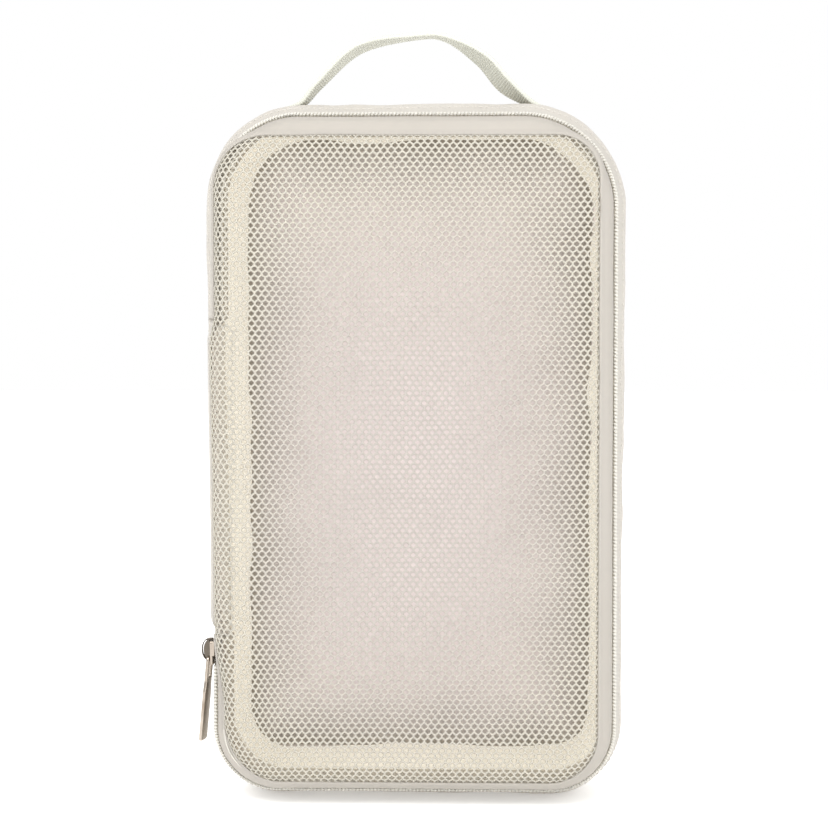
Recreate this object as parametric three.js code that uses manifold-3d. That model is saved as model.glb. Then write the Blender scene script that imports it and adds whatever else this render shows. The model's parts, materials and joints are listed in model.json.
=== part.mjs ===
// A soft packing cube with a mesh lid, a coil zipper and a webbing grab handle.
// Millimetres, +Z up. The bag stands on its short side, the mesh lid faces -Y and the lid's hinge side is -X.
// The origin is the centre of the resting face under the bag.

import * as THREE from "three";
import { mergeVertices } from "three/addons/utils/BufferGeometryUtils.js";
import Module from "manifold-3d";

const wasm = await Module();
wasm.setup();

// Driving dimensions of the bag.
const WIDTH = 180;
const HEIGHT = 296;
const DEPTH = 76;
const TOP_CORNER = 42;
const BASE_CORNER = 32;
const WALL = 1.6;
const CLEAR = 0.3;

// Rounded edges: the sewn rear edge of the gusset, and the lid's shoulder around the mesh.
const REAR_EDGE = 7;
const SHOULDER = 11;
const BAND_THICKNESS = 1.2;
const MESH_THICKNESS = 1.2;

// Coil zipper. The two coils face each other across CHAIN_Y. The gusset leans in from its widest line, at
// BELLY_Y, to the chain, which runs CHAIN_INSET inside the bag's outline.
const CHAIN_Y = -23.8;
const CHAIN_INSET = 5;
const BELLY_Y = -8;
const COIL_GAP = 1.6;
const COIL_WIDTH = 2.4;
const COIL_HEIGHT = 1.5;
const COIL_CHAMFER = 0.4;
const TAPE_THICKNESS = 0.7;
const TAPE_WIDTH = 14;
const GUSSET_FRONT_Y = -17.6;

// Where the zipper ends on the hinge side, as heights above the base.
const LOWER_END_Z = 69.5;
const UPPER_END_Z = 205;
const LID_LOWER_END_Z = 57.5;

// Bindings over the seams inside the bag.
const BINDING_THICKNESS = 1;
const BINDING_WIDTH = 7;

// Slider and pull.
const SLIDER_BASE_Z = 58;
const SLIDER_LENGTH = 11;
const SLIDER_WIDTH = 10.6;
const WING_THICKNESS = 1.3;
const CROWN_HEIGHT = 3.6;
const CROWN_BAR = 1.2;
const CROWN_WIDTH = 2.4;
const PULL_LENGTH = 36;
const PULL_WIDTH = 9;
const PULL_NECK = 7.6;
const PULL_THICKNESS = 1.3;
const EYE_WIDTH = 4.4;
const EYE_LENGTH = 7.6;
const EYE_BAR = 1.4;
const PULL_TILT = THREE.MathUtils.degToRad(3);

// Handle.
const STRAP_WIDTH = 15;
const STRAP_THICKNESS = 1.4;
const HANDLE_Y = 10;
const STRAP_STEPS = 26;
const FOOT_STEPS = 12;

const CORNER_DIVISIONS = 4;
const FRONT_Y = -DEPTH / 2;
const BACK_Y = DEPTH / 2;
const HALF_WIDTH = WIDTH / 2;

// Offsets from the bag's outline are counted outwards, so a negative one is inside it.
const COIL_TOP = -CHAIN_INSET - 0.1;
const COIL_BASE = COIL_TOP - COIL_HEIGHT;
const TAPE_TOP = COIL_BASE - CLEAR;
const TAPE_BASE = TAPE_TOP - TAPE_THICKNESS;
const BINDING_TOP = TAPE_BASE - CLEAR;
const REAR_COIL_Y = CHAIN_Y + COIL_GAP / 2;
const FRONT_COIL_Y = CHAIN_Y - COIL_GAP / 2;
const SHOULDER_CENTRE = [-CHAIN_INSET - SHOULDER, FRONT_Y + SHOULDER];

const materials = {
  fabric: new THREE.MeshStandardMaterial({ color: 0xebe7de, roughness: 0.85, metalness: 0 }),
  mesh: new THREE.MeshStandardMaterial({ color: 0xe6e1d0, roughness: 0.75, metalness: 0 }),
  tape: new THREE.MeshStandardMaterial({ color: 0xdfdbd0, roughness: 0.8, metalness: 0 }),
  coil: new THREE.MeshStandardMaterial({ color: 0xece9df, roughness: 0.45, metalness: 0 }),
  binding: new THREE.MeshStandardMaterial({ color: 0xd8d2c2, roughness: 0.85, metalness: 0 }),
  webbing: new THREE.MeshStandardMaterial({ color: 0xe4e4d8, roughness: 0.8, metalness: 0 }),
  thread: new THREE.MeshStandardMaterial({ color: 0xe2dccb, roughness: 0.7, metalness: 0 }),
  metal: new THREE.MeshStandardMaterial({ color: 0xcdbfae, roughness: 0.25, metalness: 1 }),
};

// A run in a plane of constant y, given by its stations or by a curve. Its section frame stays square to
// the bag: the section's x is the outward side of the run, and its y is the bag's y.
class FlatRun extends THREE.Curve {
  constructor(pointAt) {
    super();
    this.pointAt = pointAt;
  }

  getPoint(t, target = new THREE.Vector3()) {
    return target.copy(this.pointAt(t));
  }

  // The parameter is used as it stands, so that a straight between two stations takes one step.
  getUtoTmapping(u) {
    return u;
  }

  computeFrenetFrames(segments) {
    const tangents = [];
    const normals = [];
    const binormals = [];
    for (let i = 0; i <= segments; i++) {
      const tangent = this.getTangent(i / segments);
      tangents.push(tangent);
      normals.push(new THREE.Vector3(tangent.z, 0, -tangent.x));
      binormals.push(new THREE.Vector3(0, 1, 0));
    }
    return { tangents, normals, binormals };
  }
}

// The bag's outline as seen from the front, from startZ on the hinge side down, round the base, the far side
// and the top, and back down the hinge side to endZ.
function rimStations(startZ, endZ) {
  const rim = new THREE.Path();
  const baseX = HALF_WIDTH - BASE_CORNER;
  const topX = HALF_WIDTH - TOP_CORNER;
  const topZ = HEIGHT - TOP_CORNER;
  rim.moveTo(-HALF_WIDTH, startZ);
  rim.lineTo(-HALF_WIDTH, BASE_CORNER);
  rim.absarc(-baseX, BASE_CORNER, BASE_CORNER, Math.PI, 1.5 * Math.PI, false);
  rim.absarc(baseX, BASE_CORNER, BASE_CORNER, 1.5 * Math.PI, 2 * Math.PI, false);
  rim.absarc(topX, topZ, TOP_CORNER, 0, 0.5 * Math.PI, false);
  rim.absarc(-topX, topZ, TOP_CORNER, 0.5 * Math.PI, Math.PI, false);
  rim.lineTo(-HALF_WIDTH, endZ);
  const points = rim.getPoints(CORNER_DIVISIONS);
  const distinct = points.filter((p, i) => i === 0 || p.distanceTo(points[i - 1]) > 0.01);
  return distinct.map((p) => new THREE.Vector3(p.x, 0, p.y));
}

// A section shape from [outward offset, y] corners.
function section(corners) {
  return new THREE.Shape(corners.map(([offset, y]) => new THREE.Vector2(offset, y)));
}

// Points of an arc in the section plane, about the given centre; angles run from outward towards the back.
function arcCorners(centre, radius, from, to, steps) {
  const corners = [];
  for (let i = 0; i <= steps; i++) {
    const angle = THREE.MathUtils.degToRad(from + ((to - from) * i) / steps);
    corners.push([centre[0] + radius * Math.cos(angle), centre[1] + radius * Math.sin(angle)]);
  }
  return corners;
}

// A curved skin of even thickness, as a section.
function arcSkin(centre, outer, inner, from, to, steps) {
  return arcCorners(centre, outer, from, to, steps).concat(arcCorners(centre, inner, to, from, steps));
}

function box(offsetLow, offsetHigh, yLow, yHigh) {
  return [[offsetLow, yLow], [offsetHigh, yLow], [offsetHigh, yHigh], [offsetLow, yHigh]];
}

function sweepStations(stations, corners) {
  const last = stations.length - 1;
  const pointAt = (t) => {
    const place = THREE.MathUtils.clamp(t, 0, 1) * last;
    const index = Math.min(Math.floor(place), last - 1);
    return stations[index].clone().lerp(stations[index + 1], place - index);
  };
  return new THREE.ExtrudeGeometry(section(corners), { steps: last, extrudePath: new FlatRun(pointAt) });
}

function rimStrip(startZ, endZ, corners) {
  return sweepStations(rimStations(startZ, endZ), corners);
}

// A flat piece in the bag's front plane: a shape in x and z, from yLow to yHigh.
function facePlate(shape, yLow, yHigh) {
  const geometry = new THREE.ExtrudeGeometry(shape, {
    depth: yHigh - yLow,
    bevelEnabled: false,
    curveSegments: 2 * CORNER_DIVISIONS,
  });
  return geometry.rotateX(Math.PI / 2).translate(0, yHigh, 0);
}

// A rounded outline at an inset from the bag's outline. With a flap, it reaches out on the hinge side.
function insetOutline(inset, flap) {
  const shape = new THREE.Shape();
  const half = HALF_WIDTH - inset;
  const baseX = HALF_WIDTH - BASE_CORNER;
  const topX = HALF_WIDTH - TOP_CORNER;
  const topZ = HEIGHT - TOP_CORNER;
  shape.absarc(-baseX, BASE_CORNER, BASE_CORNER - inset, Math.PI, 1.5 * Math.PI, false);
  shape.absarc(baseX, BASE_CORNER, BASE_CORNER - inset, 1.5 * Math.PI, 2 * Math.PI, false);
  shape.absarc(topX, topZ, TOP_CORNER - inset, 0, 0.5 * Math.PI, false);
  shape.absarc(-topX, topZ, TOP_CORNER - inset, 0.5 * Math.PI, Math.PI, false);
  if (flap) {
    shape.lineTo(-half, flap.high);
    shape.lineTo(-flap.reach, flap.high);
    shape.lineTo(-flap.reach, flap.low);
    shape.lineTo(-half, flap.low);
  }
  return shape;
}

// Solid of a closed geometry, for joining with manifold-3d.
function solidOf(geometry) {
  const bare = geometry.clone();
  bare.deleteAttribute("normal");
  bare.deleteAttribute("uv");
  const merged = mergeVertices(bare, 1e-4);
  return new wasm.Manifold(
    new wasm.Mesh({
      numProp: 3,
      vertProperties: new Float32Array(merged.attributes.position.array),
      triVerts: new Uint32Array(merged.index.array),
    }),
  );
}

function geometryOf(solid) {
  const mesh = solid.getMesh();
  const geometry = new THREE.BufferGeometry();
  geometry.setAttribute("position", new THREE.BufferAttribute(mesh.vertProperties, 3));
  geometry.setIndex(new THREE.BufferAttribute(mesh.triVerts, 1));
  geometry.computeVertexNormals();
  return geometry;
}

function joined(geometries) {
  return geometryOf(geometries.map(solidOf).reduce((whole, part) => whole.add(part)));
}

function named(name, geometry, material) {
  const mesh = new THREE.Mesh(geometry, material);
  mesh.name = name;
  return mesh;
}

// ---- Shell: back panel, gusset and hinge panel ----

const HINGE_FRONT_Y = FRONT_Y + MESH_THICKNESS + CLEAR;

// The rounded rear edge, from the given front corners of the outer face.
function wallSection(front) {
  const centre = [-REAR_EDGE, BACK_Y - REAR_EDGE];
  const outer = arcCorners(centre, REAR_EDGE, 0, 90, 3);
  const inner = arcCorners(centre, REAR_EDGE - WALL, 90, 0, 3);
  const innerFront = front.map(([offset, y]) => [offset - WALL, y]).reverse();
  return [...front, ...outer, ...inner, ...innerFront];
}

function straightStrip(lowZ, highZ, corners) {
  return sweepStations(
    [new THREE.Vector3(-HALF_WIDTH, 0, highZ), new THREE.Vector3(-HALF_WIDTH, 0, lowZ)],
    corners,
  );
}

function backPanel() {
  return facePlate(insetOutline(REAR_EDGE + CLEAR), BACK_Y - WALL, BACK_Y);
}

function gussetStrip() {
  return rimStrip(LOWER_END_Z, UPPER_END_Z, wallSection([[-CHAIN_INSET, GUSSET_FRONT_Y], [0, BELLY_Y]]));
}

function hingePanel() {
  return straightStrip(LOWER_END_Z + CLEAR, UPPER_END_Z - CLEAR, wallSection([[0, HINGE_FRONT_Y]]));
}

// The seam allowance stands inwards from the rear edge at 45 degrees, wrapped in binding tape.
function backSeamBinding() {
  const reach = BINDING_WIDTH * Math.SQRT1_2;
  const half = (BINDING_THICKNESS * Math.SQRT1_2) / 2;
  const seam = [-REAR_EDGE - 1, BACK_Y - WALL - 1];
  const butt = (LOWER_END_Z + UPPER_END_Z) / 2;
  return rimStrip(butt, butt + CLEAR, [
    [seam[0] - half, seam[1] + half],
    [seam[0] - reach - half, seam[1] - reach + half],
    [seam[0] - reach + half, seam[1] - reach - half],
    [seam[0] + half, seam[1] - half],
  ]);
}

function gussetSeamBinding() {
  const top = BINDING_TOP;
  const front = GUSSET_FRONT_Y + 1.6;
  return rimStrip(LOWER_END_Z, UPPER_END_Z, box(top - BINDING_THICKNESS, top, front, front + BINDING_WIDTH));
}

// ---- Zipper chain ----

// A coil's section is a flattened octagon that rests just above its tape.
function coilSection(lowY) {
  const chamfer = COIL_CHAMFER;
  const highY = lowY + COIL_WIDTH;
  return [
    [COIL_BASE + chamfer, lowY],
    [COIL_TOP - chamfer, lowY],
    [COIL_TOP, lowY + chamfer],
    [COIL_TOP, highY - chamfer],
    [COIL_TOP - chamfer, highY],
    [COIL_BASE + chamfer, highY],
    [COIL_BASE, highY - chamfer],
    [COIL_BASE, lowY + chamfer],
  ];
}

const TAPE_EDGE = 0.1;

function rearTape() {
  const edge = REAR_COIL_Y + TAPE_EDGE;
  return rimStrip(LOWER_END_Z, UPPER_END_Z, box(TAPE_BASE, TAPE_TOP, edge, edge + TAPE_WIDTH));
}

function rearCoil() {
  return rimStrip(LOWER_END_Z, UPPER_END_Z, coilSection(REAR_COIL_Y));
}

function frontCoil() {
  return rimStrip(LID_LOWER_END_Z, UPPER_END_Z, coilSection(FRONT_COIL_Y - COIL_WIDTH));
}

// The lid half of the tape runs straight along the wall and then bends inwards under the shoulder.
function frontTape() {
  const outer = SHOULDER + CHAIN_INSET + TAPE_TOP;
  const inner = outer - TAPE_THICKNESS;
  const edge = FRONT_COIL_Y - TAPE_EDGE;
  const bend = arcSkin(SHOULDER_CENTRE, outer, inner, 0, -48, 4);
  return rimStrip(LID_LOWER_END_Z, UPPER_END_Z, [[TAPE_TOP, edge], ...bend, [TAPE_BASE, edge]]);
}

// ---- Lid: mesh, shoulder band and seam bindings ----

const MESH_INSET = CHAIN_INSET + SHOULDER + CLEAR;
const FLAP = { reach: HALF_WIDTH - 0.5, low: LOWER_END_Z + 2, high: UPPER_END_Z - 2 };

function meshPanel() {
  return facePlate(insetOutline(MESH_INSET, FLAP), FRONT_Y, FRONT_Y + MESH_THICKNESS);
}

function lidBand() {
  const skin = arcSkin(SHOULDER_CENTRE, SHOULDER, SHOULDER - BAND_THICKNESS, -14, -90, 4);
  return rimStrip(LID_LOWER_END_Z, UPPER_END_Z, skin);
}

function meshSeamBinding() {
  const front = FRONT_Y + MESH_THICKNESS + CLEAR;
  const butt = (LOWER_END_Z + UPPER_END_Z) / 2;
  const outer = -MESH_INSET - CLEAR;
  const low = outer - 0.6 * BINDING_WIDTH;
  return rimStrip(butt, butt + CLEAR, box(low, outer, front, front + BINDING_THICKNESS));
}

function lidSeamBinding() {
  const outer = SHOULDER + CHAIN_INSET + BINDING_TOP;
  const skin = arcSkin(SHOULDER_CENTRE, outer, outer - BINDING_THICKNESS, -24, -60, 4);
  return rimStrip(LID_LOWER_END_Z, UPPER_END_Z, skin);
}

// ---- Tabs over the zipper's ends, on the outside of the hinge panel ----

const TAB_LENGTH = 10;
const TAB_THICKNESS = 1.1;
const TAB_HALF_WIDTH = 6.5;
const BAR_WIDTH = 1.6;
const BAR_HEIGHT = 0.8;

function endTab(lowZ) {
  const corners = box(CLEAR, CLEAR + TAB_THICKNESS, CHAIN_Y - TAB_HALF_WIDTH, CHAIN_Y + TAB_HALF_WIDTH);
  return straightStrip(lowZ, lowZ + TAB_LENGTH, corners);
}

// A dense bar of thread across a tab.
function tabBartack(middleZ) {
  const low = 2 * CLEAR + TAB_THICKNESS;
  const half = TAB_HALF_WIDTH - 1;
  const corners = box(low, low + BAR_HEIGHT, CHAIN_Y - half, CHAIN_Y + half);
  return straightStrip(middleZ - BAR_WIDTH / 2, middleZ + BAR_WIDTH / 2, corners);
}

// ---- Slider ----

// Its frame has the chain at y = 0, x as the outward offset from the chain's line, and z up.

const WING_LOW = CLEAR + CHAIN_INSET + COIL_TOP;
const INNER_WING_TOP = CHAIN_INSET + TAPE_BASE - 2 * CLEAR;
const WING_CORNER = 1.6;
const WING_NECK_RATIO = 0.72;
const WING_SHOULDER_RATIO = 0.45;

// A wing's outline in y and z, wide at the mouth and narrower at the closed end.
function wingGeometry(offsetLow) {
  const half = SLIDER_WIDTH / 2;
  const neck = half * WING_NECK_RATIO;
  const corner = WING_CORNER;
  const shoulder = SLIDER_LENGTH * WING_SHOULDER_RATIO;
  const shape = new THREE.Shape();
  shape.moveTo(-neck + corner, 0);
  shape.lineTo(neck - corner, 0);
  shape.quadraticCurveTo(neck, 0, neck, corner);
  shape.lineTo(half, shoulder);
  shape.lineTo(half, SLIDER_LENGTH - corner);
  shape.quadraticCurveTo(half, SLIDER_LENGTH, half - corner, SLIDER_LENGTH);
  shape.lineTo(-half + corner, SLIDER_LENGTH);
  shape.quadraticCurveTo(-half, SLIDER_LENGTH, -half, SLIDER_LENGTH - corner);
  shape.lineTo(-half, shoulder);
  shape.lineTo(-neck, corner);
  shape.quadraticCurveTo(-neck, 0, -neck + corner, 0);
  const geometry = new THREE.ExtrudeGeometry(shape, {
    depth: WING_THICKNESS,
    bevelEnabled: false,
    curveSegments: 3,
  });
  // Shape x to y, shape y to z, depth to x.
  return geometry.rotateX(Math.PI / 2).rotateZ(Math.PI / 2).translate(offsetLow, 0, 0);
}

const POST_LENGTH = 2.5;
const POST_WIDTH = 1;
const POST_SETBACK = 0.2;

// The post joins the wings and passes between the two coils.
function postGeometry() {
  const reach = WING_LOW - INNER_WING_TOP + 1;
  const middleZ = SLIDER_LENGTH - POST_LENGTH / 2 - POST_SETBACK;
  const post = new THREE.BoxGeometry(reach, POST_WIDTH, POST_LENGTH);
  return post.translate((WING_LOW + INNER_WING_TOP) / 2, 0, middleZ);
}

const CROWN_LOW_Z = 0.4;
const CROWN_HIGH_Z = 10.4;
const CROWN_FOOT = WING_LOW + WING_THICKNESS;
const CROWN_TOP = CROWN_FOOT + CROWN_HEIGHT;
const CROWN_LEG = 1.5;
const CROWN_CORNER = 2.6;
const CROWN_SINK = 0.6;

// The crown is a D-shaped bridge over the outer wing, with the pull's eye under it.
function crownGeometry() {
  const rounded = (low, high, top, corner) => {
    const foot = CROWN_FOOT - CROWN_SINK;
    const path = new THREE.Shape();
    path.moveTo(foot, low);
    path.lineTo(top - corner, low);
    path.quadraticCurveTo(top, low, top, low + corner);
    path.lineTo(top, high - corner);
    path.quadraticCurveTo(top, high, top - corner, high);
    path.lineTo(foot, high);
    return path;
  };
  const depth = { depth: CROWN_WIDTH, bevelEnabled: false, curveSegments: 4 };
  const outer = new THREE.ExtrudeGeometry(rounded(CROWN_LOW_Z, CROWN_HIGH_Z, CROWN_TOP, CROWN_CORNER), depth);
  const low = CROWN_LOW_Z + CROWN_LEG;
  const high = CROWN_HIGH_Z - CROWN_LEG;
  const opening = rounded(low, high, CROWN_TOP - CROWN_BAR, CROWN_LEG);
  const inner = new THREE.ExtrudeGeometry(opening, { ...depth, depth: CROWN_WIDTH + 2 });
  const bridge = solidOf(outer).subtract(solidOf(inner.translate(0, 0, -1)));
  return geometryOf(bridge).rotateX(Math.PI / 2).translate(0, CROWN_WIDTH / 2, 0);
}

function sliderBody() {
  const wings = [wingGeometry(WING_LOW), wingGeometry(INNER_WING_TOP - WING_THICKNESS)];
  return joined([...wings, postGeometry(), crownGeometry()]);
}

// ---- Pull, in a frame whose origin is the middle of its eye bar, hanging down along -z ----

const EYE_LIFT = 0.4;
const EYE_SLACK = 0.5;
const PULL_CORNER = 1.5;
const PULL_NECK_DROP = 3;

function pullTab() {
  const top = EYE_BAR / 2;
  const low = top - PULL_LENGTH;
  const half = PULL_WIDTH / 2;
  const neck = PULL_NECK / 2;
  const corner = PULL_CORNER;
  const neckZ = -EYE_LENGTH - PULL_NECK_DROP;
  const shape = new THREE.Shape();
  shape.moveTo(-half + corner, low);
  shape.lineTo(half - corner, low);
  shape.quadraticCurveTo(half, low, half, low + corner);
  shape.lineTo(half, neckZ - PULL_NECK_DROP);
  shape.lineTo(neck, neckZ);
  shape.lineTo(neck, top - corner);
  shape.quadraticCurveTo(neck, top, neck - corner, top);
  shape.lineTo(-neck + corner, top);
  shape.quadraticCurveTo(-neck, top, -neck, top - corner);
  shape.lineTo(-neck, neckZ);
  shape.lineTo(-half, neckZ - PULL_NECK_DROP);
  shape.lineTo(-half, low + corner);
  shape.quadraticCurveTo(-half, low, -half + corner, low);
  const eye = new THREE.Path();
  const eyeHalf = EYE_WIDTH / 2;
  const eyeTop = -EYE_BAR / 2;
  const eyeLow = eyeTop - EYE_LENGTH;
  eye.moveTo(-eyeHalf, eyeLow + 1);
  eye.lineTo(-eyeHalf, eyeTop);
  eye.lineTo(eyeHalf, eyeTop);
  eye.lineTo(eyeHalf, eyeLow + 1);
  eye.lineTo(eyeHalf - 1, eyeLow);
  eye.lineTo(-eyeHalf + 1, eyeLow);
  shape.holes.push(eye);
  const geometry = new THREE.ExtrudeGeometry(shape, {
    depth: PULL_THICKNESS,
    bevelEnabled: false,
    curveSegments: 3,
  });
  geometry.translate(0, 0, -PULL_THICKNESS / 2);
  return geometry.rotateX(Math.PI / 2).rotateZ(Math.PI / 2);
}

// ---- Handle: one webbing strap, sewn down at both ends ----

// The strap's centre line in x and height above the bag. The strap turns up from its sewn ends at the third
// point from either end, where the loose loop begins.
const STRAP_LINE = [
  [-60, -0.5],
  [-51, 1.3],
  [-42, 8.2],
  [-30, 18.5],
  [-14, 27],
  [5, 29],
  [23, 22.8],
  [39.5, 8.2],
  [50, 1.4],
  [60, -0.5],
];
const LOOP_START = 2 / 9;
const LOOP_END = 7 / 9;
const LOOP_GAP = 0.016;
const BARTACK_PLACE = 0.045;
const BARTACK_SPAN = 0.026;

const strapCurve = new THREE.CatmullRomCurve3(
  STRAP_LINE.map(([x, height]) => new THREE.Vector3(x, 0, HEIGHT + height)),
);

function strapPiece(from, to, steps) {
  const pointAt = (t) => strapCurve.getPoint(from + (to - from) * t);
  const half = STRAP_THICKNESS / 2;
  const corners = box(-half, half, HANDLE_Y - STRAP_WIDTH / 2, HANDLE_Y + STRAP_WIDTH / 2);
  return new THREE.ExtrudeGeometry(section(corners), { steps, extrudePath: new FlatRun(pointAt) });
}

// Two thread bars hold a sewn end; this is the outer one, on top of the strap.
function strapBartack(side) {
  const at = side < 0 ? BARTACK_PLACE : 1 - BARTACK_PLACE;
  const low = STRAP_THICKNESS / 2 + CLEAR;
  const pointAt = (t) => strapCurve.getPoint(at + BARTACK_SPAN * (t - 0.5));
  const width = STRAP_WIDTH / 2 - 1;
  // The run goes left to right along the top, so outwards is below it and the bar lies on the other side.
  const corners = box(-low - BAR_HEIGHT, -low, HANDLE_Y - width, HANDLE_Y + width);
  return new THREE.ExtrudeGeometry(section(corners), { steps: 2, extrudePath: new FlatRun(pointAt) });
}

// ---- Assembly ----

const shell = new THREE.Group();
shell.add(
  named("back_panel", backPanel(), materials.fabric),
  named("gusset_strip", gussetStrip(), materials.fabric),
  named("hinge_panel", hingePanel(), materials.fabric),
  named("back_seam_binding", backSeamBinding(), materials.binding),
  named("gusset_seam_binding", gussetSeamBinding(), materials.binding),
  named("rear_zipper_tape", rearTape(), materials.tape),
  named("rear_zipper_coil", rearCoil(), materials.coil),
  named("zipper_tab_lower", endTab(LOWER_END_Z + 0.5), materials.fabric),
  named("zipper_tab_upper", endTab(UPPER_END_Z - 0.5 - TAB_LENGTH), materials.fabric),
  named("tab_bartack_lower", tabBartack(LOWER_END_Z + TAB_LENGTH - 2), materials.thread),
  named("tab_bartack_upper", tabBartack(UPPER_END_Z - TAB_LENGTH + 2), materials.thread),
  named("handle_end_left", strapPiece(0, LOOP_START, FOOT_STEPS), materials.webbing),
  named("handle_end_right", strapPiece(LOOP_END, 1, FOOT_STEPS), materials.webbing),
  named("handle_bartack_left", strapBartack(-1), materials.thread),
  named("handle_bartack_right", strapBartack(1), materials.thread),
);

const lid = new THREE.Group();
lid.add(
  named("mesh_panel", meshPanel(), materials.mesh),
  named("lid_band", lidBand(), materials.fabric),
  named("mesh_seam_binding", meshSeamBinding(), materials.binding),
  named("lid_seam_binding", lidSeamBinding(), materials.binding),
  named("front_zipper_tape", frontTape(), materials.tape),
  named("front_zipper_coil", frontCoil(), materials.coil),
);

const handle = new THREE.Group();
const loop = strapPiece(LOOP_START + LOOP_GAP, LOOP_END - LOOP_GAP, STRAP_STEPS);
handle.add(named("handle_webbing", loop, materials.webbing));

// The slider's frame stands on the chain's line on the hinge side, turned so that its x points out of the bag.
const slider = new THREE.Group();
slider.position.set(-HALF_WIDTH + CHAIN_INSET, CHAIN_Y, SLIDER_BASE_Z);
slider.rotation.z = Math.PI;
slider.add(named("slider_body", sliderBody(), materials.metal));

const pull = new THREE.Group();
pull.position.set(CROWN_FOOT + EYE_BAR / 2 + EYE_LIFT, 0, CROWN_LOW_Z + CROWN_LEG + EYE_BAR / 2 + EYE_SLACK);
pull.rotation.y = -PULL_TILT;
pull.add(named("pull_tab", pullTab(), materials.metal));
slider.add(pull);

const packingCube = new THREE.Group();
packingCube.add(shell, lid, handle, slider);

export default packingCube;
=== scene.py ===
"""A soft packing cube with a net lid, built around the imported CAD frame.

Lengths are in millimetres, and turn into metres where meshes, lights and the camera are made.
"""

import json
import math

import bmesh
import bpy
import numpy as np
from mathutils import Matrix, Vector, noise


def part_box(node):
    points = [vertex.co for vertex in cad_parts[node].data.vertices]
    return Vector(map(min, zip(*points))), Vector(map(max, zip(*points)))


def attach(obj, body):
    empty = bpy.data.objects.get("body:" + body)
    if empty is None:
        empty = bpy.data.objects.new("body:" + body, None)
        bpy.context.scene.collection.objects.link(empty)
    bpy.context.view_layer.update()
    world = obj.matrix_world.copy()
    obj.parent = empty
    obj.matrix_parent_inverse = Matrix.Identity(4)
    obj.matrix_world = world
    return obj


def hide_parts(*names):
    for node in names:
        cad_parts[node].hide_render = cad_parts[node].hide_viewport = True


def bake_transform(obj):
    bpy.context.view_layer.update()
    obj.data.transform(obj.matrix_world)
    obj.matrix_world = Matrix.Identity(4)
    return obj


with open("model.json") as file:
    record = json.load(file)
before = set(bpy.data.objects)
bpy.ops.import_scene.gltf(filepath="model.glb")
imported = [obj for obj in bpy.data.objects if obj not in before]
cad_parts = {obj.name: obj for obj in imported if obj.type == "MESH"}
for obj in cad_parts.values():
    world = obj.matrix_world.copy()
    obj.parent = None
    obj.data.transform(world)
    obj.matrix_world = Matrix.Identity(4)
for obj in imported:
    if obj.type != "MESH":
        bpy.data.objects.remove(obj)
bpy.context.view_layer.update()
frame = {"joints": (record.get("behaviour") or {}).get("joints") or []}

MM = 0.001


def node_box(name):
    """Lowest and highest corners of a CAD node, in millimetres."""
    low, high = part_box(name)
    return np.array(low) / MM, np.array(high) / MM


# ---- Sizes from the frame ----

HALF, BACK, TOP = node_box("gusset_strip")[1]
FRONT = node_box("mesh_panel")[0][1]
CHAIN_Y = (node_box("rear_zipper_coil")[0][1] + node_box("front_zipper_coil")[1][1]) / 2
CHAIN_U = node_box("rear_zipper_coil")[1][0] - HALF
LOWER_END, UPPER_END = (corner[2] for corner in node_box("hinge_panel"))
LID_COIL_END = node_box("slider_body")[0][2]
MIDDLE_Z = (LOWER_END + UPPER_END) / 2
STRAP_LOW, STRAP_HIGH = node_box("handle_webbing")
STRAP_Y = (STRAP_LOW[1] + STRAP_HIGH[1]) / 2
STRAP_WIDTH = STRAP_HIGH[1] - STRAP_LOW[1]

# ---- Sizes of the soft shape ----

BASE_CORNER, TOP_CORNER = 32, 42
RIM_CORNERS = {"base_left": BASE_CORNER, "base_right": BASE_CORNER, "top_right": 44.5, "top_left": TOP_CORNER}
CLOTH = 0.6
FOLD_LIFT = 0.45

# The net's flat field, and how far and how steeply its edges roll back to the seam, side by side.
FIELD_LEFT, FIELD_RIGHT, FIELD_BASE, FIELD_TOP = -75.5, 69.3, 18.2, 273.3
FIELD_CORNERS = {"base_left": 19, "base_right": 13, "top_right": 10, "top_left": 15}
ROLL_RADIUS = {"right": 10, "top": 10, "base": 10, "left": 8, "hinge": 11}
ROLL_ANGLE = {"right": 50, "top": 50, "base": 50, "left": 80, "hinge": 94}
HINGE_FADE = 12
PINCH = 3.4

NET_PITCH, NET_ROW, NET_SIDE = 3.0, 2.05, 0.42
NET_THREAD, NET_HOLE = 0.62, 0.64
NET_TUCK = 1.4
NET_SWELL = 0.55

COIL_PITCH, COIL_HALF_WIDTH, COIL_HALF_HEIGHT, COIL_THREAD = 1.5, 1.72, 0.52, 0.58
COIL_CORE, COIL_DEPTH = 0.74, 0.75
STITCH_PITCH, STITCH_LENGTH, STITCH_RADIUS = 2.6, 1.95, 0.18

# How far the widest line of each side leans in towards the base.
LEAN_LEFT, LEAN_RIGHT, LEAN_LOW_Z, LEAN_HIGH_Z = 3.2, 1.0, 60, 260
LEAN_RIGHT_ALL, HINGE_LEAN = 0.8, 2.6


def smooth(t):
    """Eases from 0 to 1 as t goes from 0 to 1."""
    t = np.clip(t, 0, 1)
    return t * t * (3 - 2 * t)


def unit(vectors):
    return vectors / np.maximum(np.linalg.norm(vectors, axis=-1, keepdims=True), 1e-9)


def distances(points):
    """Length along a run of points, from its start to each point."""
    return np.concatenate([[0], np.cumsum(np.linalg.norm(np.diff(points, axis=0), axis=-1))])


def wobble(points, size, seed):
    """Smooth noise between about -1 and 1 at each point, with features of the given size."""
    shift = Vector((seed * 7.3, seed * 3.1, seed * 5.7))
    return np.array([noise.noise(Vector(p) / size + shift) for p in points.reshape(-1, 3)]).reshape(points.shape[:-1])


# ---- Outlines seen from the front ----


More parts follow.
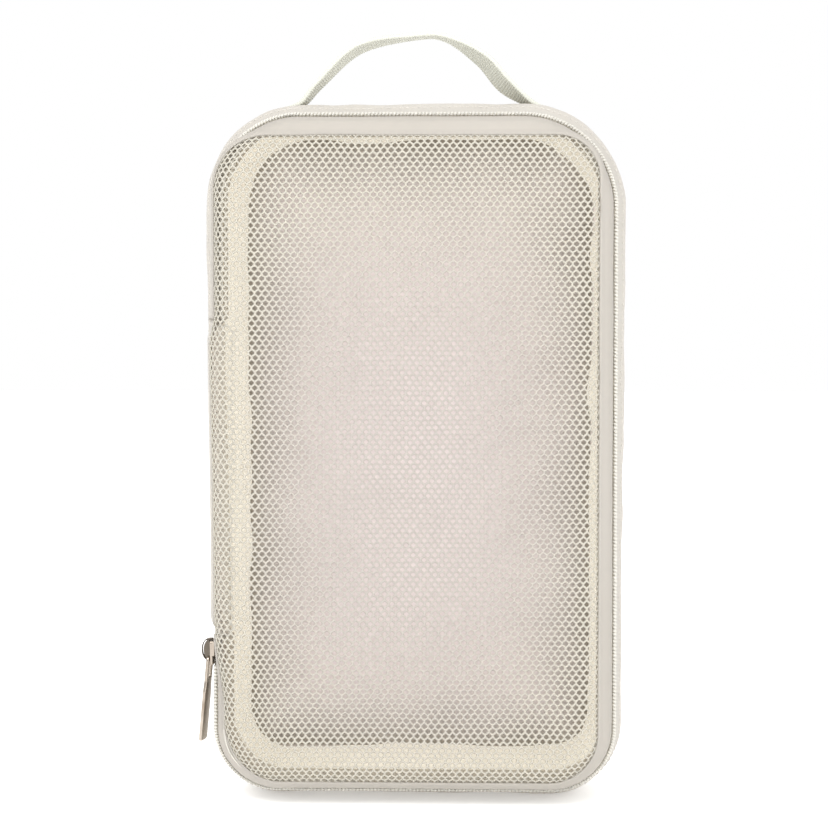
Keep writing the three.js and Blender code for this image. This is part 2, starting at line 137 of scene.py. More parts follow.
class Outline:
    """A rounded outline, run from the middle of the hinge side down, round the base, the far side and the top.

    A station counts segments: a whole number is the end of a side or corner, and the breaks are shared between
    outlines, so that the same station on two of them lies side by side.
    """

    SLACK = 8
    BREAK_BASE_X, BREAK_TOP_X = HALF - BASE_CORNER - SLACK, HALF - TOP_CORNER - SLACK
    BREAK_BASE_Z, BREAK_TOP_Z = BASE_CORNER + SLACK, TOP - TOP_CORNER - SLACK

    def __init__(self, left, right, base, top, corners):
        bx, tx, bz, tz = self.BREAK_BASE_X, self.BREAK_TOP_X, self.BREAK_BASE_Z, self.BREAK_TOP_Z
        bl, br, tr, tl = (corners[name] for name in ("base_left", "base_right", "top_right", "top_left"))
        runs = [
            self.side((left, MIDDLE_Z), (left, bz), 180),
            self.corner((left, bz), (left + bl, base + bl), bl, 180, (-bx, base)),
            self.side((-bx, base), (bx, base), 270),
            self.corner((bx, base), (right - br, base + br), br, 270, (right, bz)),
            self.side((right, bz), (right, tz), 0),
            self.corner((right, tz), (right - tr, top - tr), tr, 0, (tx, top)),
            self.side((tx, top), (-tx, top), 90),
            self.corner((-tx, top), (left + tl, top - tl), tl, 90, (left, tz)),
            self.side((left, tz), (left, MIDDLE_Z), 180),
        ]
        stations, points, normals = [], [], []
        for index, (run, angles) in enumerate(runs):
            reach = distances(run)
            stations.append(index + reach / reach[-1] * (1 - 1e-9))
            points.append(run)
            normals.append(np.stack([np.cos(angles), np.sin(angles)], axis=1))
        self.stations = np.concatenate(stations)
        self.points = np.concatenate(points)
        self.normals = np.concatenate(normals)

    @staticmethod
    def side(start, end, angle):
        return np.array([start, end], float), np.radians([angle, angle])

    @staticmethod
    def corner(start, centre, radius, angle, end):
        turn = np.radians(np.linspace(angle, angle + 90, 33))
        arc = np.array(centre) + radius * np.stack([np.cos(turn), np.sin(turn)], axis=1)
        run = np.concatenate([[start], arc, [end]])
        return run, np.concatenate([[turn[0]], turn, [turn[-1]]])

    def at(self, station):
        """Points and outward normals, each [x, z], at the stations."""
        point = np.stack([np.interp(station, self.stations, self.points[:, k]) for k in (0, 1)], axis=-1)
        normal = np.stack([np.interp(station, self.stations, self.normals[:, k]) for k in (0, 1)], axis=-1)
        return point, unit(normal)


RIM = Outline(-HALF, HALF, 0, TOP, RIM_CORNERS)
FIELD = Outline(FIELD_LEFT, FIELD_RIGHT, FIELD_BASE, FIELD_TOP, FIELD_CORNERS)


def lower_station(z):
    return (MIDDLE_Z - z) / (MIDDLE_Z - RIM.BREAK_BASE_Z)


def upper_station(z):
    return 8 + (RIM.BREAK_TOP_Z - z) / (RIM.BREAK_TOP_Z - MIDDLE_Z)


CHAIN_RUN = lower_station(LOWER_END), upper_station(UPPER_END)
LID_RUN = lower_station(LID_COIL_END), upper_station(UPPER_END)


def rim_stations(start, end, step):
    """Stations of even spacing along the rim between two stations."""
    fine = np.linspace(start, end, 6000)
    reach = distances(RIM.at(fine)[0])
    return np.interp(np.linspace(0, reach[-1], int(reach[-1] / step) + 1), reach, fine)


def low_share(z):
    """1 at the heights where the sides lean in fully, and 0 where they don't."""
    return 1 - smooth((z - LEAN_LOW_Z) / (LEAN_HIGH_Z - LEAN_LOW_Z))


def lean(x, z):
    """How far a point on the widest line leans in."""
    share = low_share(z)
    side = np.clip(np.abs(x) / (HALF - BASE_CORNER) - 1, 0, 1) * 2
    return np.clip(side, 0, 1) * np.where(x < 0, share * LEAN_LEFT, share * LEAN_RIGHT + LEAN_RIGHT_ALL)


def beside(point, normal, offset, y):
    """Points at an outward offset from an outline's points, at the given y."""
    x, z = (point[..., k] + normal[..., k] * offset for k in (0, 1))
    return np.stack([x, np.broadcast_to(np.asarray(y, float), x.shape), z], axis=-1)


def rim_grid(stations, section):
    """Places a section of [outward offset, y] points at each station. The section may change along the run."""
    point, normal = RIM.at(stations)
    section = np.broadcast_to(section, (len(stations),) + section.shape[-2:])
    return beside(point[:, None], normal[:, None], section[..., 0], section[..., 1])


def curve_through(points, count):
    """A smooth curve through control points, evenly spaced, for one run of points or a stack of them."""
    points = np.asarray(points, float)
    padded = np.concatenate([2 * points[..., :1, :] - points[..., 1:2, :], points,
                             2 * points[..., -1:, :] - points[..., -2:-1, :]], axis=-2)
    lengths = np.linalg.norm(np.diff(points, axis=-2), axis=-1)
    while lengths.ndim > 1:
        lengths = lengths.mean(axis=0)
    knots = np.concatenate([[0], np.cumsum(lengths)])
    place = np.interp(np.linspace(0, knots[-1], count), knots, np.arange(len(knots)))
    index = np.minimum(place.astype(int), points.shape[-2] - 2)
    t = (place - index)[:, None]
    a, b, c, d = (padded[..., index + k, :] for k in range(4))
    return 0.5 * (2 * b + (c - a) * t + (2 * a - 5 * b + 4 * c - d) * t**2 + (3 * b - a - 3 * c + d) * t**3)


# ---- The net's surface ----


def hinge_share(z):
    """1 where the net rolls back to the hinge panel, and 0 where the shoulder band lies between."""
    return smooth((z - LOWER_END + 2) / HINGE_FADE) * smooth((UPPER_END + 2 - z) / HINGE_FADE)


def roll_of(normal, z):
    """Roll radius and angle of the net's edge that faces the given way at the given height."""
    weights = {
        "right": np.clip(normal[..., 0], 0, 1) ** 2,
        "left": np.clip(-normal[..., 0], 0, 1) ** 2,
        "top": np.clip(normal[..., 1], 0, 1) ** 2,
        "base": np.clip(-normal[..., 1], 0, 1) ** 2,
    }
    share = hinge_share(z)

    def mix(table):
        sides = {**table, "left": table["left"] + (table["hinge"] - table["left"]) * share}
        return sum(weights[side] * sides[side] for side in weights)

    leaning = weights["left"] * share * HINGE_LEAN * low_share(z)
    return mix(ROLL_RADIUS) - leaning, np.radians(mix(ROLL_ANGLE))


def on_roll(edge, normal, radius, angle):
    """The point at an angle round the roll, with its outward tangent and its surface normal."""
    out = np.stack([normal[..., 0], np.zeros_like(angle), normal[..., 1]], axis=-1)
    ahead = np.array([0, -1.0, 0])
    sine, cosine = np.sin(angle)[..., None], np.cos(angle)[..., None]
    base = np.stack([edge[..., 0], np.full_like(angle, FRONT), edge[..., 1]], axis=-1)
    point = base + radius[..., None] * (out * sine - ahead * (1 - cosine))
    return point, out * cosine - ahead * sine, out * sine + ahead * cosine


def pinched(points):
    """Draws the net's lower left side in, below the zipper's end."""
    moved = points.copy()
    low = smooth((LOWER_END + 4 - points[..., 2]) / 34)
    moved[..., 0] += PINCH * low * smooth((-48 - points[..., 0]) / 34)
    return moved


def seam(stations):
    """The seam where the net ends: its points, outward tangents and surface normals."""
    edge, normal = FIELD.at(stations)
    radius, angle = roll_of(normal, edge[:, 1])
    point, outward, facing = on_roll(edge, normal, radius, angle)
    return pinched(point), outward, facing


def net_place(flat):
    """Where points of the net's flat pattern lie in the bag, their surface normals, and how far inside the seam."""
    x, z = flat[..., 0], flat[..., 1]
    names = [("base_left", "base_right"), ("top_left", "top_right")]
    low, high = (np.where(x < 0, FIELD_CORNERS[a], FIELD_CORNERS[b]) for a, b in names)
    corner = np.where(z > MIDDLE_Z, high, low)
    centre = np.stack([np.clip(x, FIELD_LEFT + corner, FIELD_RIGHT - corner),
                       np.clip(z, FIELD_BASE + corner, FIELD_TOP - corner)], axis=-1)
    away = flat - centre
    length = np.linalg.norm(away, axis=-1)
    normal = away / np.maximum(length, 1e-9)[..., None]
    edge = centre + normal * corner[..., None]
    past = length - corner
    radius, angle = roll_of(normal, edge[..., 1])
    limit = radius * angle + NET_TUCK
    turned = np.minimum(past, limit) / radius
    rolled, _, rolled_normal = on_roll(edge, normal, radius, turned)
    level = np.stack([x, np.full_like(x, FRONT), z], axis=-1)
    outside = (past > 0)[..., None]
    place = np.where(outside, rolled, level)
    facing = np.where(outside, rolled_normal, np.array([0, -1.0, 0]))
    swell = NET_SWELL * wobble(place, 38, 3) * smooth(-past / 30 + 0.5)
    return pinched(place + facing * swell[..., None]), facing, limit - past


# ---- Meshes ----


def in_scene(name, data):
    """An object with the given data, linked to the scene."""
    made = bpy.data.objects.new(name, data)
    bpy.context.scene.collection.objects.link(made)
    return made


def new_piece(name, points, faces, cloth=None):
    """A mesh object from points in millimetres. cloth gives each point's place along and across its weave."""
    mesh = bpy.data.meshes.new(name)
    mesh.from_pydata((np.asarray(points) * MM).tolist(), [], [list(f) for f in faces])
    mesh.polygons.foreach_set("use_smooth", [True] * len(mesh.polygons))
    if cloth is not None:
        attribute = mesh.attributes.new("cloth", "FLOAT_VECTOR", "POINT")
        attribute.data.foreach_set("vector", np.asarray(cloth, np.float32).ravel())
    mesh.validate()
    return in_scene(name, mesh)


def grid_faces(rows, columns, wrap=False):
    """Faces of a grid of points, row after row. With wrap, the last column meets the first."""
    i, j = np.meshgrid(np.arange(rows - 1), np.arange(columns if wrap else columns - 1), indexing="ij")
    right = (j + 1) % columns
    quads = np.stack([i * columns + j, i * columns + right, (i + 1) * columns + right, (i + 1) * columns + j], axis=-1)
    return quads.reshape(-1, 4)


def skin(name, grid, thickness=CLOTH, inner_share=None):
    """A closed skin of even thickness about a grid of points. The third cloth value is inner_share inside, or 1."""
    rows, columns = grid.shape[:2]
    along, across = np.gradient(grid, axis=0), np.gradient(grid, axis=1)
    normal = unit(np.cross(along, across))
    count = rows * columns
    lift = normal * thickness / 2
    points = np.concatenate([(grid + lift).reshape(-1, 3), (grid - lift).reshape(-1, 3)])
    outer = grid_faces(rows, columns)
    border = np.concatenate([
        np.arange(columns),
        np.arange(1, rows) * columns + columns - 1,
        (rows - 1) * columns + np.arange(columns - 2, -1, -1),
        np.arange(rows - 2, 0, -1) * columns,
    ])
    after = np.roll(border, -1)
    edge = np.stack([border, border + count, after + count, after], axis=1)
    faces = np.concatenate([outer, outer[:, ::-1] + count, edge])
    down = np.concatenate([[0], np.cumsum(np.linalg.norm(np.diff(grid, axis=0), axis=-1).mean(axis=1))])
    over = np.concatenate([[0], np.cumsum(np.linalg.norm(np.diff(grid, axis=1), axis=-1).mean(axis=0))])
    sides = [np.stack(np.broadcast_arrays(down[:, None], over[None, :], share), axis=-1).reshape(-1, 3)
             for share in (1.0, 1.0 if inner_share is None else inner_share)]
    return new_piece(name, points, faces[:, ::-1], np.concatenate(sides if normal[0, 0, 1] > 0 else sides[::-1]))


def tube_faces(rows, sides):
    """Faces of a tube of the given rows of points, with a cap at each end."""
    faces = grid_faces(rows, sides, wrap=True).tolist()
    return faces + [list(range(sides - 1, -1, -1)), [(rows - 1) * sides + k for k in range(sides)]]


# A direction that no path here runs along.
OBLIQUE = np.array([0.31, 0.17, 0.93])


def tube(path, radius, sides):
    """Points and faces of a closed tube along a path, with capped ends."""
    tangent = unit(np.gradient(path, axis=0))
    first = unit(np.cross(tangent, OBLIQUE))
    second = np.cross(tangent, first)
    turn = np.arange(sides) * 2 * np.pi / sides
    ring = np.cos(turn)[None, :, None] * first[:, None] + np.sin(turn)[None, :, None] * second[:, None]
    points = (path[:, None] + radius * ring).reshape(-1, 3)
    return points, tube_faces(len(path), sides)


def stitch_row(name, middles, directions, normals):
    """A row of short threads that dip into the cloth at both ends."""
    spread = np.array([-0.5, -0.34, -0.12, 0.12, 0.34, 0.5])
    height = np.array([-0.3, -0.02, 0.07, 0.07, -0.02, -0.3])
    size = np.array([0.45, 0.9, 1, 1, 0.9, 0.45]) * STITCH_RADIUS
    turn = np.arange(6) * np.pi / 3
    side = np.cross(directions, normals)
    base = (middles[:, None] + directions[:, None] * (spread * STITCH_LENGTH)[None, :, None]
            + normals[:, None] * height[None, :, None])
    ring = (np.cos(turn)[None, None, :, None] * side[:, None, None]
            + np.sin(turn)[None, None, :, None] * normals[:, None, None])
    points = base[:, :, None] + ring * size[None, :, None, None]
    one = tube_faces(6, 6)
    faces = [[v + 36 * k for v in face] for k in range(len(middles)) for face in one]
    return new_piece(name, points.reshape(-1, 3), faces)


def stitches_on(name, grid, column):
    """A stitch row along one column of a skin's grid."""
    line = grid[:, column]
    along, across = np.gradient(grid, axis=0)[:, column], np.gradient(grid, axis=1)[:, column]
    normal = np.cross(across, along)
    reach = distances(line)
    places = np.arange(STITCH_PITCH, reach[-1] - STITCH_PITCH, STITCH_PITCH)

    def at(values):
        return np.stack([np.interp(places, reach, values[:, k]) for k in range(3)], axis=1)

    up = unit(at(normal))
    return stitch_row(name, at(line) + up * (CLOTH / 2 + 0.08), unit(at(along)), up)


def plate(name, outlines, thickness, bevel):
    """A flat plate with rounded edges from closed outlines, the first outside and the rest holes."""
    curve = bpy.data.curves.new(name, "CURVE")
    curve.dimensions = "2D"
    curve.fill_mode = "BOTH"
    curve.extrude = (thickness / 2 - bevel) * MM
    curve.bevel_depth = bevel * MM
    curve.offset = -bevel * MM
    curve.bevel_resolution = 3
    for outline in outlines:
        spline = curve.splines.new("POLY")
        spline.points.add(len(outline) - 1)
        spline.points.foreach_set("co", [v for x, y in outline for v in (x * MM, y * MM, 0, 1)])
        spline.use_cyclic_u = True
    holder = in_scene(name + "_outline", curve)
    bpy.context.view_layer.update()
    made = bpy.data.meshes.new_from_object(holder.evaluated_get(bpy.context.evaluated_depsgraph_get()))
    bpy.data.objects.remove(holder)
    points = np.array([v.co for v in made.vertices]).reshape(-1, 3) / MM
    return points, [list(p.vertices) for p in made.polygons]


def welded(name, parts):
    """One piece from several closed bodies of points and faces."""
    points, faces = [], []
    for part_points, part_faces in parts:
        start = sum(len(p) for p in points)
        points.append(part_points)
        faces.extend([[v + start for v in face] for face in part_faces])
    piece = new_piece(name, np.concatenate(points), faces)
    work = bmesh.new()
    work.from_mesh(piece.data)
    bmesh.ops.remove_doubles(work, verts=work.verts, dist=1e-7)
    bmesh.ops.recalc_face_normals(work, faces=work.faces)
    work.to_mesh(piece.data)
    work.free()
    piece.data.set_sharp_from_angle(angle=math.radians(50))
    return piece


def rounded_shape(corners, radius):
    """A closed polygon with each corner rounded."""
    corners = np.asarray(corners, float)
    outline = []
    for before, corner, after in zip(np.roll(corners, 1, 0), corners, np.roll(corners, -1, 0)):
        into, out = before - corner, after - corner
        reach = min(radius, 0.45 * np.linalg.norm(into), 0.45 * np.linalg.norm(out))
        start = corner + into / np.linalg.norm(into) * reach
        end = corner + out / np.linalg.norm(out) * reach
        for t in np.linspace(0, 1, 6):
            outline.append(start * (1 - t) ** 2 + 2 * corner * t * (1 - t) + end * t * t)
    return [tuple(p) for p in outline]


# ---- Materials ----


def linear(red, green, blue):
    """Linear colour of a display colour given from 0 to 255."""
    values = [c / 255 for c in (red, green, blue)]
    return tuple([c / 12.92 if c <= 0.04045 else ((c + 0.055) / 1.055) ** 2.4 for c in values] + [1.0])


class Shader:
    """A node tree under construction."""

    def __init__(self, name):
        self.material = bpy.data.materials.new(name)
        self.material.use_nodes = True
        self.tree = self.material.node_tree
        self.tree.nodes.clear()

    def feed(self, socket, value):
        """Links another node's output to a socket, or sets a plain value on it."""
        if isinstance(value, bpy.types.NodeSocket):
            self.tree.links.new(value, socket)
        else:
            socket.default_value = value

    def node(self, kind, **values):
        """A node with its settings and sockets filled. An underscore in a name stands for a socket's space."""
        made = self.tree.nodes.new(kind)
        for key, value in values.items():
            socket = made.inputs.get(key.replace("_", " "))
            if hasattr(made, key) and socket is None:
                setattr(made, key, value)
            else:
                self.feed(socket, value)
        return made

    def math(self, operation, a, b=0.0):
        made = self.node("ShaderNodeMath", operation=operation)
        for socket, value in zip(made.inputs, (a, b)):
            self.feed(socket, value)
        return made.outputs[0]

    def place(self):
        return self.node("ShaderNodeTexCoord").outputs["Object"]

    def mottle(self, scale, detail=3.0):
        return self.node("ShaderNodeTexNoise", Vector=self.place(), Scale=scale, Detail=detail).outputs[0]

    def cloth(self, axis):
        """One part of each point's cloth value."""
        value = self.node("ShaderNodeAttribute", attribute_name="cloth").outputs["Vector"]
        return self.node("ShaderNodeSeparateXYZ", Vector=value).outputs[axis]

    def two_tone(self, share, first, second):
        ramp = self.node("ShaderNodeMix", data_type="RGBA")
        for index, value in (("Factor", share), (6, first), (7, second)):
            self.feed(ramp.inputs[index], value)
        return ramp.outputs[2]

    def finish(self, surface):
        output = self.node("ShaderNodeOutputMaterial")
        self.tree.links.new(surface, output.inputs["Surface"])
        return self.material


def weave_height(shader, warp, weft):
    """Height of a plain weave whose threads have the given spacings, in millimetres."""
    waves = [shader.math("SINE", shader.math("MULTIPLY", shader.cloth(axis), 2 * math.pi / spacing))
             for axis, spacing in (("X", warp), ("Y", weft))]
    return shader.math("MULTIPLY", *waves)


CENTRE_SHARE = 0.36


def mixed_through(shader, main, colour, share, normal=None):
    """Lets a share of the light pass through the surface."""
    through = shader.node("ShaderNodeBsdfTranslucent", Color=colour)
    if normal is not None:
        shader.feed(through.inputs["Normal"], normal)
    mixed = shader.node("ShaderNodeMixShader")
    for socket, value in zip(mixed.inputs, (share, main.outputs[0], through.outputs[0])):
        shader.feed(socket, value)
    return shader.finish(mixed.outputs[0])


def fabric(name, light, dark, glow, warp=0.9, weft=0.9, depth=0.05, blotch=22.0, border=None, painted_emission=0.0):
    """Woven cloth: mottled colour, thread relief and a share of the light, glow, let through.

    The last argument is a little emission: painted light, for cloth that would otherwise read too dark behind the net.

    With border, the inside of the cloth goes from the first of its colours, a painted shade where the third cloth
    value is 0, to the second, a brighter painted light, where that value is CENTRE_SHARE. The share of light let
    through falls with the painted shade.
    """
    shader = Shader(name)
    weave = weave_height(shader, warp, weft)
    blotches = shader.mottle(blotch, 4.0)
    share = shader.math("ADD", shader.math("MULTIPLY", weave, 0.10), shader.math("MULTIPLY", blotches, 0.9))
    colour = shader.two_tone(share, linear(*light), linear(*dark))
    if border:
        # Painted shade on the inside, fading to painted light at the middle; the light let through falls with it.
        inner = shader.cloth("Z")
        painted_light_share = shader.math("MINIMUM", shader.math("MULTIPLY", inner, 1 / CENTRE_SHARE), 1.0)
        painted_shade_to_light = shader.two_tone(painted_light_share, *(linear(*shade) for shade in border))
        colour = shader.two_tone(shader.math("GREATER_THAN", inner, 0.9), painted_shade_to_light, colour)
        glow = shader.math("MULTIPLY", painted_light_share, glow)
    crease = shader.mottle(260.0, 2.0)
    height = shader.math("ADD", shader.math("MULTIPLY", weave, 0.6), crease)
    bump = shader.node("ShaderNodeBump", Strength=0.35, Distance=depth * MM, Height=height)
    rough = shader.math("ADD", 0.78, shader.math("MULTIPLY", crease, 0.14))
    main = shader.node("ShaderNodeBsdfPrincipled", Base_Color=colour, Roughness=rough, Normal=bump.outputs[0])
    main.inputs["Sheen Weight"].default_value = 0.15
    main.inputs["Emission Color"].default_value = linear(235, 228, 212)
    main.inputs["Emission Strength"].default_value = painted_emission
    main.inputs["Sheen Roughness"].default_value = 0.4
    main.inputs["Specular IOR Level"].default_value = 0.25
    return mixed_through(shader, main, colour, glow, bump.outputs[0])


def filament(shader, colour, streak, roughness, shine, glow):
    """Finishes the material of a thread: fine streaks and a soft shine."""
    bump = shader.node("ShaderNodeBump", Strength=0.3, Distance=0.08 * MM, Height=streak)
    rough = shader.math("ADD", roughness, shader.math("MULTIPLY", streak, 0.15))
    main = shader.node("ShaderNodeBsdfPrincipled", Base_Color=colour, Roughness=rough, Normal=bump.outputs[0])
    main.inputs["Specular IOR Level"].default_value = shine
    return mixed_through(shader, main, colour, glow)


def smooth_thread(name, light, dark, roughness, glow):
    """Bright thread with a faint change of colour."""
    shader = Shader(name)
    streak = shader.mottle(900.0, 2.0)
    share = shader.math("MULTIPLY", shader.math("ADD", streak, shader.mottle(30.0)), 0.5)
    return filament(shader, shader.two_tone(share, linear(*light), linear(*dark)), streak, roughness, 0.4, glow)


def netting(name, border, middle):
    """Net thread, a little duller over the middle of the panel than by its edges."""
    shader = Shader(name)
    parts = shader.node("ShaderNodeSeparateXYZ", Vector=shader.place())
    across = shader.math("DIVIDE", parts.outputs["X"], 0.075)
    up = shader.math("DIVIDE", shader.math("SUBTRACT", parts.outputs["Z"], MIDDLE_Z * MM), 0.125)
    reach = shader.math("ADD", shader.math("POWER", shader.math("ABSOLUTE", across), 3.0),
                        shader.math("POWER", shader.math("ABSOLUTE", up), 3.0))
    streak = shader.mottle(900.0, 2.0)
    share = shader.math("ADD", shader.math("MINIMUM", reach, 1.0), shader.math("MULTIPLY", streak, 0.1))
    return filament(shader, shader.two_tone(share, linear(*middle), linear(*border)), streak, 0.45, 0.35, 0.4)


def plated_metal(name, light, dark):
    """Polished plating with fine rubbed scratches, its colour mottled from the light tone to the dark one, which
    stands partly for wear and partly for painted dark reflection.
    """
    shader = Shader(name)
    rub = shader.mottle(700.0, 5.0)
    wear_and_painted_reflection = shader.mottle(120.0, 3.0)
    colour = shader.two_tone(wear_and_painted_reflection, linear(*light), linear(*dark))
    rough = shader.math("ADD", 0.12, shader.math("MULTIPLY", rub, 0.16))
    bump = shader.node("ShaderNodeBump", Strength=0.12, Distance=0.05 * MM, Height=rub)
    main = shader.node("ShaderNodeBsdfPrincipled", Base_Color=colour, Roughness=rough, Normal=bump.outputs[0])
    main.inputs["Metallic"].default_value = 1.0
    return shader.finish(main.outputs[0])


SHELL_CLOTH = fabric("shell_cloth", (229, 226, 220), (218, 213, 205), glow=0.42)
BAND_CLOTH = fabric("band_cloth", (214, 209, 202), (204, 199, 190), glow=0.42)
# The inside of the back cloth is painted: shade by the walls, fading to a brighter, rosy painted light at the middle.
BACK_CLOTH = fabric("back_cloth", (234, 230, 224), (224, 219, 212), glow=0.5, blotch=14.0,
                    border=((142, 136, 124), (250, 242, 243)))
# The ring cloth glows with emission: painted light that keeps it bright behind the net.
RING_CLOTH = fabric("ring_cloth", (255, 254, 250), (252, 250, 244), warp=0.7, weft=0.7, glow=0.6,
                    painted_emission=0.5)
# The tape glows with a little emission too: painted light.
TAPE_CLOTH = fabric("tape_cloth", (242, 240, 234), (232, 229, 222), warp=0.7, weft=1.4, glow=0.5,
                    painted_emission=0.1)
BINDING_CLOTH = fabric("binding_cloth", (244, 241, 234), (234, 230, 221), warp=0.7, weft=0.7, glow=0.6)
WEBBING_CLOTH = fabric("webbing_cloth", (219, 220, 210), (206, 207, 197), warp=1.1, depth=0.12, glow=0.08)
NET_THREADS = netting("net_threads", (220, 216, 205), (212, 206, 201))
COIL_NYLON = smooth_thread("coil_nylon", (248, 246, 240), (241, 238, 230), 0.32, glow=0.4)
SEWING_THREAD = smooth_thread("sewing_thread", (230, 227, 220), (219, 215, 206), 0.55, glow=0.15)
# The nickel's dark tone is partly painted dark reflection.
NICKEL = plated_metal("light_nickel", (206, 197, 186), (128, 113, 97))
# A darker copy of the nickel: painted shade for the crown's dark outline.
PAINTED_SHADE_NICKEL = plated_metal("painted_shade_nickel", (128, 120, 110), (66, 59, 52))


def place_piece(piece, material, body=None, stands_for=()):
    """Gives a piece its material, its body and the CAD nodes that it stands for."""
    piece.data.materials.clear()
    piece.data.materials.append(material)
    if body:
        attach(piece, body)
    if stands_for:
        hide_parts(*stands_for)
    return piece


# ---- Shell ----

GUSSET_STEP, STRIP_STEP = 1.7, 2.0
GUSSET_COLUMNS = 44

# From the tuck inside, round the folded front edge, over the widest line to the back seam.
GUSSET_SECTION = [
    (-7.2, -16.5), (-6.9, -20.2), (-6.1, -21.1), (-5.2, -20.4), (-3.9, -16.8), (-2.0, -11.5), (-0.7, -6),
    (-0.1, 1), (0, 11), (-0.4, 22), (-1.4, 29), (-3.3, 33.6), (-5.6, 36.3), (-7.2, 36.9), (-8.4, 35.8),
]
HINGE_BACK = GUSSET_SECTION[6:]


def bartack(name, middles, ahead, out, node):
    """Bars of dense thread, with a stitch at each middle."""
    ahead, out = (np.tile(np.array(way, float), (len(middles), 1)) for way in (ahead, out))
    place_piece(stitch_row(name, middles, ahead, out), SEWING_THREAD, "shell", [node])


def topstitch(name, grid, column, body):
    place_piece(stitches_on(name, grid, column), SEWING_THREAD, body)


def cloth_waves(grid, amount, seed):
    """Displaces a grid by soft hand-sized undulation and finer puckers."""
    along, across = np.gradient(grid, axis=0), np.gradient(grid, axis=1)
    normal = unit(np.cross(across, along))
    height = 0.65 * wobble(grid, 34, seed) + 0.35 * wobble(grid, 12, seed + 1) + 0.12 * wobble(grid, 5, seed + 2)
    return grid + normal * (height * amount)[..., None]


def leaned(grid, y_low, y_high):
    """Leans the widest part of a side in towards the base, and leaves what lies in front of it."""
    share = smooth((grid[..., 1] - y_low) / (y_high - y_low))
    moved = grid.copy()
    moved[..., 0] -= np.sign(grid[..., 0]) * lean(grid[..., 0], grid[..., 2]) * share
    return moved


def gusset():
    stations = rim_stations(*CHAIN_RUN, GUSSET_STEP)
    grid = rim_grid(stations, curve_through(GUSSET_SECTION, GUSSET_COLUMNS))
    grid = cloth_waves(leaned(grid, -20, -6), 1.0, 11)
    grid[..., 2] = np.maximum(grid[..., 2], 0)  # the waves lie flat where the bag stands
    piece = skin("gusset", grid)
    place_piece(piece, SHELL_CLOTH, "shell", ["gusset_strip"])
    topstitch("gusset_topstitch", grid, 9, "shell")


def hinge_side():
    """The wall between the zipper's ends. Its front edge laps the net, and its ends fall in to meet the chain."""
    stations = np.concatenate([rim_stations(upper_station(UPPER_END), 9, GUSSET_STEP)[:-1],
                               rim_stations(0, lower_station(LOWER_END), GUSSET_STEP)])
    on_field, outward, facing = seam(stations)
    rim_x = RIM.at(stations)[0][:, 0]
    z = RIM.at(stations)[0][:, 1]
    share = hinge_share(z)[:, None]

    def lap(along, lift):
        point = on_field + outward * along + facing * lift
        return np.stack([rim_x - point[:, 0], point[:, 1]], axis=1)

    def back(offset, y):
        drop = (1 - share[:, 0]) * smooth((-4 - y) / 16) * 4.5
        return np.stack([np.full(len(z), offset) - drop, np.full(len(z), float(y))], axis=1)

    laps = [lap(2.2, 0.1), lap(-0.1, FOLD_LIFT), lap(1.6, 0.8)]
    ends = [back(-6.0, -16.5), back(-5.2, -20.6), back(-4.0, -17)]
    front = [a * share + b * (1 - share) for a, b in zip(laps, ends)]
    section = front + [back(-1.1, -13)] + [back(u, y) for u, y in HINGE_BACK]
    grid = rim_grid(stations, curve_through(np.stack(section, axis=1), GUSSET_COLUMNS))
    grid = cloth_waves(leaned(grid, -24, -6), 0.5, 17)
    piece = skin("hinge_side", grid)
    place_piece(piece, SHELL_CLOTH, "shell", ["hinge_panel"])
    topstitch("hinge_topstitch", grid, 13, "shell")


def panel_grid(inset, rows, columns, height):
    """A grid that fills the outline at an inset, with its y given by a function of the place and edge distance."""
    half, low, high = HALF - inset, inset, TOP - inset
    base_r, top_r = BASE_CORNER - inset, TOP_CORNER - inset
    spread = 0.5 - 0.5 * np.cos(np.linspace(0, np.pi, rows))
    z = low + (high - low) * (0.35 * spread + 0.65 * np.linspace(0, 1, rows))
    into_base, into_top = np.clip(base_r - (z - low), 0, None), np.clip(top_r - (high - z), 0, None)
    narrow = (base_r - np.sqrt(np.clip(base_r**2 - into_base**2, 0, None))
              + top_r - np.sqrt(np.clip(top_r**2 - into_top**2, 0, None)))
    width = half - narrow - lean(np.full_like(z, half), z)
    across = np.linspace(-1, 1, columns)
    x = across[None, :] * width[:, None]
    zz = np.broadcast_to(z[:, None], x.shape)
    inside = np.minimum(np.minimum(width[:, None] - np.abs(x), zz - low), high - zz)
    grid = np.stack([x, np.zeros_like(x), zz], axis=-1)
    grid[..., 1] = height(grid, inside)
    return grid, inside


PANEL_INSET = 7.2
PANEL_LAP, LAP_FADE = 3.2, 1.6


def back_panel():
    """The back wall, with its cloth value 1 in the lap by the seam, then growing from 0 inwards. The growing value
    paints shade by the walls that fades to painted light at the middle.
    """
    def height(grid, inside):
        puff = 0.9 * smooth(inside / 16)
        creases = 0.5 * wobble(grid, 46, 23) + 0.22 * wobble(grid, 15, 24)
        return BACK - 1.2 + puff + creases * smooth(inside / 20)

    grid, inside = panel_grid(PANEL_INSET, 130, 84, height)
    depth = np.clip(inside - 5, 0, None) * (1 + 0.45 * wobble(grid, 26, 27))
    middle = CENTRE_SHARE * (1 - np.exp(-depth / 14))
    lap_end = PANEL_LAP + LAP_FADE
    shade = np.where(inside < PANEL_LAP, 1, np.where(inside < lap_end, (lap_end - inside) / LAP_FADE, middle))
    piece = skin("back_wall", grid, inner_share=shade)
    place_piece(piece, BACK_CLOTH, "shell", ["back_panel"])


